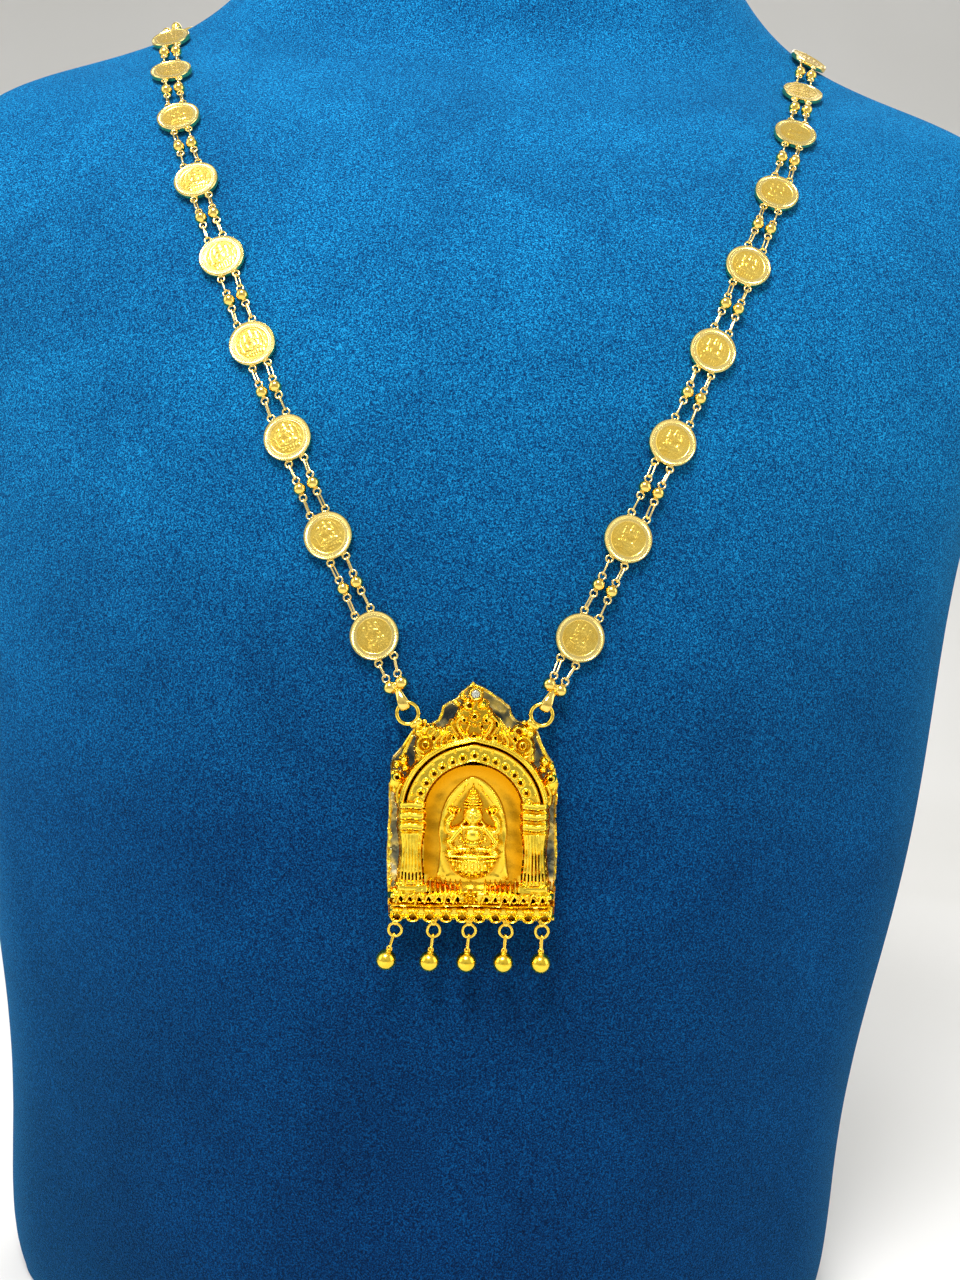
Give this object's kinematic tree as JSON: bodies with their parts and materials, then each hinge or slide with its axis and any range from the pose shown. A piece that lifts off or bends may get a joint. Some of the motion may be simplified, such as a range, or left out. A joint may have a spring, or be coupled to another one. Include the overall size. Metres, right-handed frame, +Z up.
{
  "type": "temple jewellery necklace on a neck bust",
  "caption": "Long necklace of struck gold coins joined by paired bead strands, with a shrine pendant and ball drops, lying on a plain suede neck bust with a flat base.",
  "frame": {"origin": "centre of the bust's flat base, on the surface that it stands on", "axes": "+X to the viewer's right, +Y from the chest to the back, +Z up along the neck"},
  "size_m": [0.3002, 0.1468, 0.4305],
  "materials": {
    "suede": "deep blue microsuede, fine grainy nap",
    "pendant_gold": "bright yellow gold, pressed and polished",
    "coin_gold": "pale yellow gold, satin field and polished rim",
    "chain_gold": "bright yellow gold, polished",
    "stone": "small pale cut stone"
  },
  "bodies": {
    "root": {"back_chain_left": "chain_gold", "back_chain_right": "chain_gold", "clasp": "chain_gold", "coin_left_01": "coin_gold", "coin_left_02": "coin_gold", "coin_left_03": "coin_gold", "coin_left_04": "coin_gold", "coin_left_05": "coin_gold", "coin_left_06": "coin_gold", "coin_left_07": "coin_gold", "coin_left_08": "coin_gold", "coin_left_09": "coin_gold", "coin_left_10": "coin_gold", "coin_right_01": "coin_gold", "coin_right_02": "coin_gold", "coin_right_03": "coin_gold", "coin_right_04": "coin_gold", "coin_right_05": "coin_gold", "coin_right_06": "coin_gold", "coin_right_07": "coin_gold", "coin_right_08": "coin_gold", "coin_right_09": "coin_gold", "coin_right_10": "coin_gold", "lower_connector_left": "chain_gold", "lower_connector_right": "chain_gold", "lower_links_left": "chain_gold", "lower_links_right": "chain_gold", "neck_bust": "suede", "strands_left_01": "chain_gold", "strands_left_02": "chain_gold", "strands_left_03": "chain_gold", "strands_left_04": "chain_gold", "strands_left_05": "chain_gold", "strands_left_06": "chain_gold", "strands_left_07": "chain_gold", "strands_left_08": "chain_gold", "strands_left_09": "chain_gold", "strands_right_01": "chain_gold", "strands_right_02": "chain_gold", "strands_right_03": "chain_gold", "strands_right_04": "chain_gold", "strands_right_05": "chain_gold", "strands_right_06": "chain_gold", "strands_right_07": "chain_gold", "strands_right_08": "chain_gold", "strands_right_09": "chain_gold", "upper_connector_left": "chain_gold", "upper_connector_right": "chain_gold", "upper_links_left": "chain_gold", "upper_links_right": "chain_gold"},
    "pendant": {"crest_stone": "stone", "drop_1": "chain_gold", "drop_2": "chain_gold", "drop_3": "chain_gold", "drop_4": "chain_gold", "drop_5": "chain_gold", "pendant": "pendant_gold"}
  },
  "joints": [
    {"name": "pendant_swing", "type": "hinge", "parent": "root", "child": "pendant", "pos_m": [0.0075, -0.064, 0.1562], "axis": [-0.9986, 0, -0.0523], "range_deg": [0, 18]}
  ]
}
